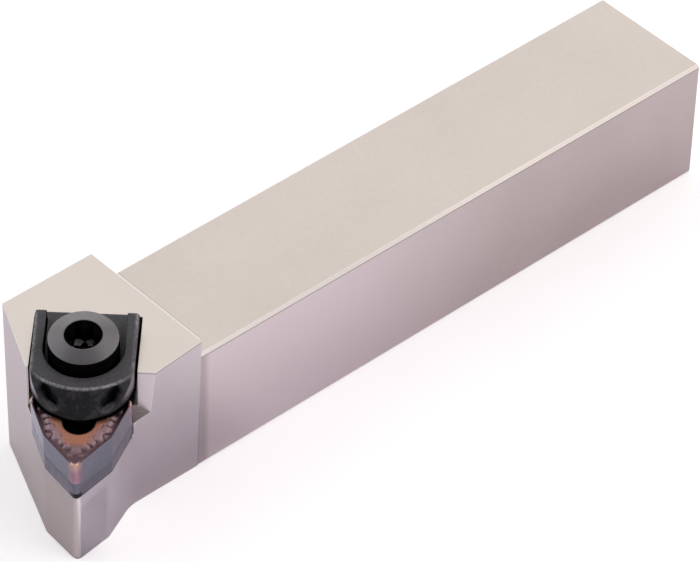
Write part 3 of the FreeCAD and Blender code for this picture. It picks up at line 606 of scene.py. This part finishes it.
# The insert's hole has a rounded rim: radius, then drop below the face.
HOLE_RIM = ((2.58, 0.42), (2.62, 0.24), (2.73, 0.10), (2.85, 0.03))
FACE_START = 2.95
FIELD_INSET = 2.45
FIELD_STEPS = 7
BAND_STEPS = 20
BAND_STEP = 0.11
LAND_INSETS = [0.27, 0.17, 0.08]
ROUNDED_EDGE = ((0.025, 0.02), (0.0, 0.07))
FACE, LAND, FLANK = range(3)


def insert_face(level, sign):
    """Rings and slots of one face of the insert, from the hole's rim out to the edge."""
    made = [(circle_ring(radius, level - sign * drop), FACE) for radius, drop in HOLE_RIM]
    for k in range(FIELD_STEPS):
        ring = []
        for a in ANGLES:
            r = FACE_START + (reach(a, FIELD_INSET) - FACE_START) * k / FIELD_STEPS
            edge = (reach(a, 0) - r) * math.cos(folded(a) - SIDE)
            height = level + sign * breaker(a, r, edge)
            ring.append((r * math.cos(a), r * math.sin(a), height))
        made.append((ring, FACE))
    bands = [(FIELD_INSET - BAND_STEP * k, FACE) for k in range(BAND_STEPS)]
    for inset, slot in bands + [(inset, LAND) for inset in LAND_INSETS]:
        ring = []
        for a in ANGLES:
            r = reach(a, inset)
            height = level + sign * breaker(a, r, inset)
            ring.append((r * math.cos(a), r * math.sin(a), height))
        made.append((ring, slot))
    return made + [(outline_ring(inset, level - sign * drop), LAND) for inset, drop in ROUNDED_EDGE]


def make_insert():
    upper = insert_face(0.0, 1)
    upper[-1] = (upper[-1][0], FLANK)
    flank = [(outline_ring(0, level), FLANK) for level in (-0.3, -1.3, -2.38, -3.46, -4.46)]
    lower = insert_face(-INSERT_THICK, -1)
    rings, slots = zip(*(upper + flank + lower[::-1]))
    piece = skin("insert", rings, slots, SHARP_ANGLE)
    for material in (insert_top(), insert_land(), insert_flank()):
        piece.data.materials.append(material)
    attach(piece, "holder")
    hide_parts("cutting_insert")


def make_shim():
    top = -INSERT_THICK
    low = top - SHIM_THICK
    rings = [circle_ring(2.2, low), circle_ring(2.2, top - 1.3), circle_ring(3.5, top)]
    rings += [outline_ring(inset, level) for inset, level in (
        (2.3, top), (1.0, top), (0.28, top), (0.10, top - 0.02), (0.06, top - 0.06),
        (0.06, top - 1.2), (0.06, top - 2.6), (0.06, low + 0.12), (0.16, low + 0.03),
        (0.28, low), (2.3, low))]
    piece = skin("shim_plate", rings, [0] * len(rings), SHARP_ANGLE)
    piece.data.materials.append(ground_carbide())
    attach(piece, "holder")
    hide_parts("shim")


# The screw's profile from its tip up to the dome and down into the socket: radius and level,
# and in COLLAR and SOCKET also slot and how far the six lobes stand out.
# The three slots: turned steel, painted black shade, and a painted lit tone.
BLACK, SHADE_WALL, LIT_FLOOR = range(3)
SCREW_LOW = -18.9
THREAD_START = SCREW_LOW + 0.9
THREAD_END = -5.5
PITCH = 1.0
RIDGE = ((2.6, 0.0), (2.97, 0.38), (2.97, 0.52), (2.6, 0.9))
SCREW_TIP = ((1.0, 0.0), (1.9, 0.0), (2.55, 0.7))
COLLAR = ((2.98, 2.1, BLACK, 0.0), (3.15, 2.25, BLACK, 0.0))
# The head's side, painted black as shade.
HEAD_WALL = (
    (5.75, 2.26), (5.9, 2.32), (5.97, 2.45), (5.97, 4.0), (5.97, 6.3), (5.97, 6.45), (5.94, 6.60))
DOME = (
    (5.88, 6.70), (5.70, 6.765), (5.5, 6.84), (5.2, 6.94), (4.7, 7.09), (4.2, 7.24),
    (3.75, 7.375), (3.38, 7.485), (3.27, 7.51), (3.20, 7.49))
SOCKET = (
    (3.18, 7.42, SHADE_WALL, 0.0), (3.16, 6.98, SHADE_WALL, 0.0), (2.95, 6.95, SHADE_WALL, 0.02),
    (2.40, 6.72, SHADE_WALL, 0.40), (2.37, 6.55, SHADE_WALL, 0.42), (2.37, 3.8, SHADE_WALL, 0.42),
    (2.37, 3.64, LIT_FLOOR, 0.42), (1.65, 3.45, SHADE_WALL, -0.35), (1.40, 3.0, SHADE_WALL, -0.25),
    (1.3, 0.4, SHADE_WALL, 0.0))
SCREW_STEPS = 180
LOBE_TURN = math.radians(30)


def make_screw():
    """A turned skin: thread rings, collar, domed head, mouth and six-lobed socket."""
    profile = [(radius, SCREW_LOW + rise, BLACK, 0.0) for radius, rise in SCREW_TIP]
    level = THREAD_START
    while level < THREAD_END:
        profile += [(radius, level + rise, BLACK, 0.0) for radius, rise in RIDGE]
        level += PITCH
    profile += [(2.6, level + 0.2, BLACK, 0.0), (2.98, level + 0.6, BLACK, 0.0)]
    profile += COLLAR
    profile += [(radius, height, SHADE_WALL, 0.0) for radius, height in HEAD_WALL]
    profile += [(radius, height, BLACK, 0.0) for radius, height in DOME]
    profile += SOCKET
    turns = [2 * math.pi * i / SCREW_STEPS for i in range(SCREW_STEPS)]
    rings = []
    for radius, level, slot, lobed in profile:
        ring = []
        for a in turns:
            r = radius + lobed * math.cos(6 * (a - LOBE_TURN))
            ring.append((r * math.cos(a), r * math.sin(a), level))
        rings.append(ring)
    slots = [slot for radius, level, slot, lobed in profile[:-1]] + [None]
    piece = skin("screw_turned", rings, slots, 32, SCREW_FRAME)
    for material in (turned(), socket_shade_black(), socket_floor_lit()):
        piece.data.materials.append(material)
    # The socket's flat bottom takes the painted black shade too.
    for polygon in piece.data.polygons:
        if len(polygon.vertices) > 4 and polygon.normal.z > 0:
            polygon.material_index = SHADE_WALL
    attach(piece, "screw")
    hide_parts("clamp_screw")


def node_copy(name):
    """A copy of a CAD node's mesh, and its welded faces to be changed and written back."""
    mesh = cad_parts[name].data.copy()
    mesh.materials.clear()
    bm = bmesh.new()
    bm.from_mesh(mesh)
    bmesh.ops.remove_doubles(bm, verts=bm.verts, dist=0.000002)
    return bm, mesh


def settle(piece):
    """Applies the piece's modifiers to its mesh."""
    depsgraph = bpy.context.evaluated_depsgraph_get()
    applied = bpy.data.meshes.new_from_object(piece.evaluated_get(depsgraph))
    piece.modifiers.clear()
    piece.data = applied
    return applied


# Each side of the clamp's front has a slanting hollow, between two points, and a swelling.
DIMPLE_HIGH, DIMPLE_LOW = Vector((-4.2, 6.2, 2.4)), Vector((-1.8, 3.8, 1.7))
DIMPLE_SIZE, DIMPLE_DEPTH = 1.2, 0.4
SWELLING = Vector((-1.6, 5.0, 1.0))
SWELLING_SIZE, SWELLING_RISE = 2.2, 0.05
SKIN_INSET = 0.012
UNEVEN_SCALE, UNEVEN_DEPTH = 2.6, 0.018
VOXEL = 0.00019


def sunk_at(point):
    """How deep the forged skin is drawn in at a point of the clamp, in millimetres."""
    sunk = SKIN_INSET - UNEVEN_DEPTH * noise.fractal(point * UNEVEN_SCALE, 1.0, 2.0, 3)
    one_side = Vector((point.x, abs(point.y), point.z))
    line = DIMPLE_LOW - DIMPLE_HIGH
    share = min(max((one_side - DIMPLE_HIGH).dot(line) / line.length_squared, 0.0), 1.0)
    gap = (one_side - DIMPLE_HIGH - line * share).length / DIMPLE_SIZE
    if gap < 1:
        sunk += DIMPLE_DEPTH * (1 - gap * gap) ** 2
    gap = (one_side - SWELLING).length / SWELLING_SIZE
    if gap < 1:
        sunk -= SWELLING_RISE * (1 - gap * gap) ** 2
    return sunk


def make_clamp():
    """The forged clamp: the CAD form with every edge worn round, and an uneven skin."""
    bm, mesh = node_copy("top_clamp")
    bm.transform(SEAT_FRAME.inverted())
    bm.to_mesh(mesh)
    bm.free()
    piece = bpy.data.objects.new("clamp_forged", mesh)
    scene.collection.objects.link(piece)
    remesh = piece.modifiers.new("skin", "REMESH")
    remesh.mode = "VOXEL"
    remesh.voxel_size = VOXEL
    soften = piece.modifiers.new("soften", "SMOOTH")
    soften.factor = 0.5
    soften.iterations = 4
    mesh = settle(piece)
    moved = [
        vertex.co - vertex.normal * sunk_at(vertex.co / MM) * MM for vertex in mesh.vertices]
    mesh.vertices.foreach_set("co", [number for point in moved for number in point])
    mesh.transform(SEAT_FRAME)
    mesh.update()
    mesh.polygons.foreach_set("use_smooth", [True] * len(mesh.polygons))
    mesh.materials.append(forging())
    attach(piece, "clamp")
    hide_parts("top_clamp")


EDGE_BREAK = 0.00015
BROKEN_FROM = math.radians(28)


def make_holder():
    """The holder with a fine break along its sharp edges, toned brighter as a painted highlight,
    but not round the seat.
    """
    bm, mesh = node_copy("holder_body")
    bmesh.ops.dissolve_limit(bm, angle_limit=math.radians(0.5), verts=bm.verts, edges=bm.edges)
    to_seat = SEAT_FRAME.inverted()
    weights = bm.edges.layers.float.new("bevel_weight_edge")
    for edge in bm.edges:
        middle = to_seat @ ((edge.verts[0].co + edge.verts[1].co) / 2) / MM
        at_seat = middle.z < -4 and middle.x > -4 and abs(middle.y) < 9
        if edge.is_manifold and edge.calc_face_angle() > BROKEN_FROM and not at_seat:
            edge[weights] = 1.0
    bm.to_mesh(mesh)
    bm.free()
    mesh.materials.append(nickel("nickel_plating", *PLATING))
    mesh.materials.append(nickel("nickel_edge", *PAINTED_EDGE_HIGHLIGHT))
    mesh.polygons.foreach_set("use_smooth", [True] * len(mesh.polygons))
    mesh.set_sharp_from_angle(angle=math.radians(35))
    piece = bpy.data.objects.new("holder_plated", mesh)
    scene.collection.objects.link(piece)
    bevel = piece.modifiers.new("edge_break", "BEVEL")
    bevel.width = EDGE_BREAK
    bevel.segments = 2
    bevel.limit_method = "WEIGHT"
    bevel.material = 1
    bevel.use_clamp_overlap = True
    flatten = piece.modifiers.new("flat_faces", "WEIGHTED_NORMAL")
    flatten.weight = 100
    flatten.keep_sharp = True
    settle(piece)
    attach(piece, "holder")
    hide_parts("holder_body")


def dress(name, material):
    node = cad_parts[name]
    node.data.materials.clear()
    node.data.materials.append(material)


make_insert()
make_shim()
make_screw()
make_clamp()
make_holder()
plain_dark = turned()
dress("holder_body", nickel("nickel_plain", *PLATING))
dress("top_clamp", forging())
dress("clamp_screw", plain_dark)
dress("shim_screw", plain_dark)
dress("cutting_insert", insert_top())
dress("shim", ground_carbide())
dress("clamp_spring", wire_steel())


# Floor, light and camera.
FLOOR_HALF = 3.0
FLOOR_GLOW = 0.36


def make_floor():
    """White paper to the camera, and the photograph's reflections to the steel above it."""
    mesh = bpy.data.meshes.new("floor")
    corners = [(-1, -1), (1, -1), (1, 1), (-1, 1)]
    mesh.from_pydata([(x * FLOOR_HALF, y * FLOOR_HALF, 0) for x, y in corners], [], [(0, 1, 2, 3)])
    floor = bpy.data.objects.new("floor", mesh)
    scene.collection.objects.link(floor)
    m = Surface("floor_paper", specular=0.1)
    m.set({"Roughness": 0.9})
    camera_ray = m.add("ShaderNodeLightPath").outputs["Is Camera Ray"]
    grain = m.noise(60, 3, 0.5)
    seen = m.ramp(grain, [(0.2, (0.80, 0.79, 0.795)), (0.8, (0.82, 0.81, 0.815))])
    mirrored = m.ramp(grain, [(0.2, (0.75, 0.70, 0.78)), (0.8, (0.77, 0.72, 0.80))])
    x, y, z = m.axes()
    beside_shank = m.product(m.span(y, 0.016, 0.034), m.span(x, -0.11, -0.03, 0.4, 1.0))
    beside_head = m.product(
        m.span(x, -0.018, -0.006), m.fall(x, 0.018, 0.026),
        m.span(y, 0.010, 0.016), m.fall(y, 0.026, 0.036))
    # Painted reflections: a lighter zone beside the shank, painted shade beside the head and a
    # bluer zone on the -y side, which the camera sees only in reflections.
    mirrored = m.tinted(mirrored, (
        (beside_shank, (1.0, 0.94, 1.0)),
        (beside_head, (0.58, 0.53, 0.60)),
        (m.fall(y, -0.020, -0.002), (0.90, 0.87, 0.98))))
    m.link(m.blend(camera_ray, mirrored, seen), m.shader.inputs["Base Color"])
    glow = m.add("ShaderNodeEmission")
    m.link(m.product(camera_ray, FLOOR_GLOW), glow.inputs["Strength"])
    both = m.add("ShaderNodeAddShader")
    m.link(m.shader.outputs[0], both.inputs[0])
    m.link(glow.outputs[0], both.inputs[1])
    m.link(both.outputs[0], m.tree.nodes["Material Output"].inputs["Surface"])
    mesh.materials.append(m.material)


PHOTOGRAPHER = (0.507, 0.544, 0.669)
CARD = (-0.439, -0.703, 0.559)


def make_world():
    """A soft studio: dim overhead and at the photographer, with a bright card opposite them."""
    world = bpy.data.worlds.new("studio")
    scene.world = world
    world.use_nodes = True
    sky = Nodes(world.node_tree)
    direction = sky.add("ShaderNodeTexCoord").outputs["Generated"]
    color = sky.ramp(sky.parts(direction)["Z"], [
        (0.0, (1.0, 0.98, 1.0)), (0.35, (1.08, 1.07, 1.05)), (0.68, (0.70, 0.69, 0.68)),
        (0.9, (0.66, 0.65, 0.66)), (1.0, (0.64, 0.63, 0.65))])
    front = sky.span(sky.dot(direction, PHOTOGRAPHER), 0.5, 0.9, 0.95, 0.30)
    card = sky.span(sky.dot(direction, CARD), 0.85, 0.97, 1.0, 1.5)
    background = sky.tree.nodes["Background"]
    sky.link(color, background.inputs["Color"])
    sky.link(sky.product(front, card), background.inputs["Strength"])
    white = sky.add("ShaderNodeBackground")
    white.inputs["Color"].default_value = (1, 1, 1, 1)
    mix = sky.add("ShaderNodeMixShader")
    sky.link(sky.add("ShaderNodeLightPath").outputs["Is Camera Ray"], mix.inputs[0])
    sky.link(background.outputs[0], mix.inputs[1])
    sky.link(white.outputs[0], mix.inputs[2])
    sky.link(mix.outputs[0], sky.tree.nodes["World Output"].inputs["Surface"])


LAMP_TARGET = Vector((0, 0, 0.01))
# Each lamp's place, side, power and colour.
LAMPS = {
    "right": ((-0.60, 0.30, 0.62), 1.1, 2.6, (1.0, 0.95, 0.98)),
    "side": ((-0.05, 0.34, 0.30), 0.25, 0.40, (1.0, 0.94, 0.98)),
    "left": ((0.45, -0.60, 0.50), 1.1, 2.5, (0.86, 0.89, 1.0))}


def make_lamps():
    for name, (position, side, power, color) in LAMPS.items():
        data = bpy.data.lights.new(name, "AREA")
        data.shape = "RECTANGLE"
        data.size = data.size_y = side
        data.energy = power
        data.color = color
        light = bpy.data.objects.new(name, data)
        light.location = position
        aim = LAMP_TARGET - Vector(position)
        light.rotation_euler = aim.to_track_quat("-Z", "Y").to_euler()
        scene.collection.objects.link(light)


# The camera that the photograph's corners gave, in degrees, millimetres and pixels.
CAMERA_TURN = (47.123, 41.953, -1.556)
CAMERA_DISTANCE = 774.67
CAMERA_TARGET = Vector((-43.232, 2.623, 10.0))
CAMERA_FOCAL = 4448.59
PICTURE_WIDTH = 700.0
SENSOR_WIDTH = 36.0


def make_camera():
    azimuth, elevation, roll = map(math.radians, CAMERA_TURN)
    flat = math.cos(elevation)
    back = Vector((math.cos(azimuth) * flat, math.sin(azimuth) * flat, math.sin(elevation)))
    right = (-back).cross(Vector((0, 0, 1))).normalized()
    down = (-back).cross(right)
    turned_right = right * math.cos(roll) + down * math.sin(roll)
    turned_down = down * math.cos(roll) - right * math.sin(roll)
    data = bpy.data.cameras.new("camera")
    data.sensor_width = SENSOR_WIDTH
    data.lens = CAMERA_FOCAL * SENSOR_WIDTH / PICTURE_WIDTH
    data.clip_start = 0.05
    data.clip_end = 20.0
    camera = bpy.data.objects.new("camera", data)
    turn = Matrix((turned_right, -turned_down, back)).transposed()
    place = (CAMERA_TARGET + back * CAMERA_DISTANCE) * MM
    camera.matrix_world = Matrix.Translation(place) @ turn.to_4x4()
    scene.collection.objects.link(camera)
    scene.camera = camera


make_floor()
make_world()
make_lamps()
make_camera()
scene.view_settings.view_transform = "Standard"
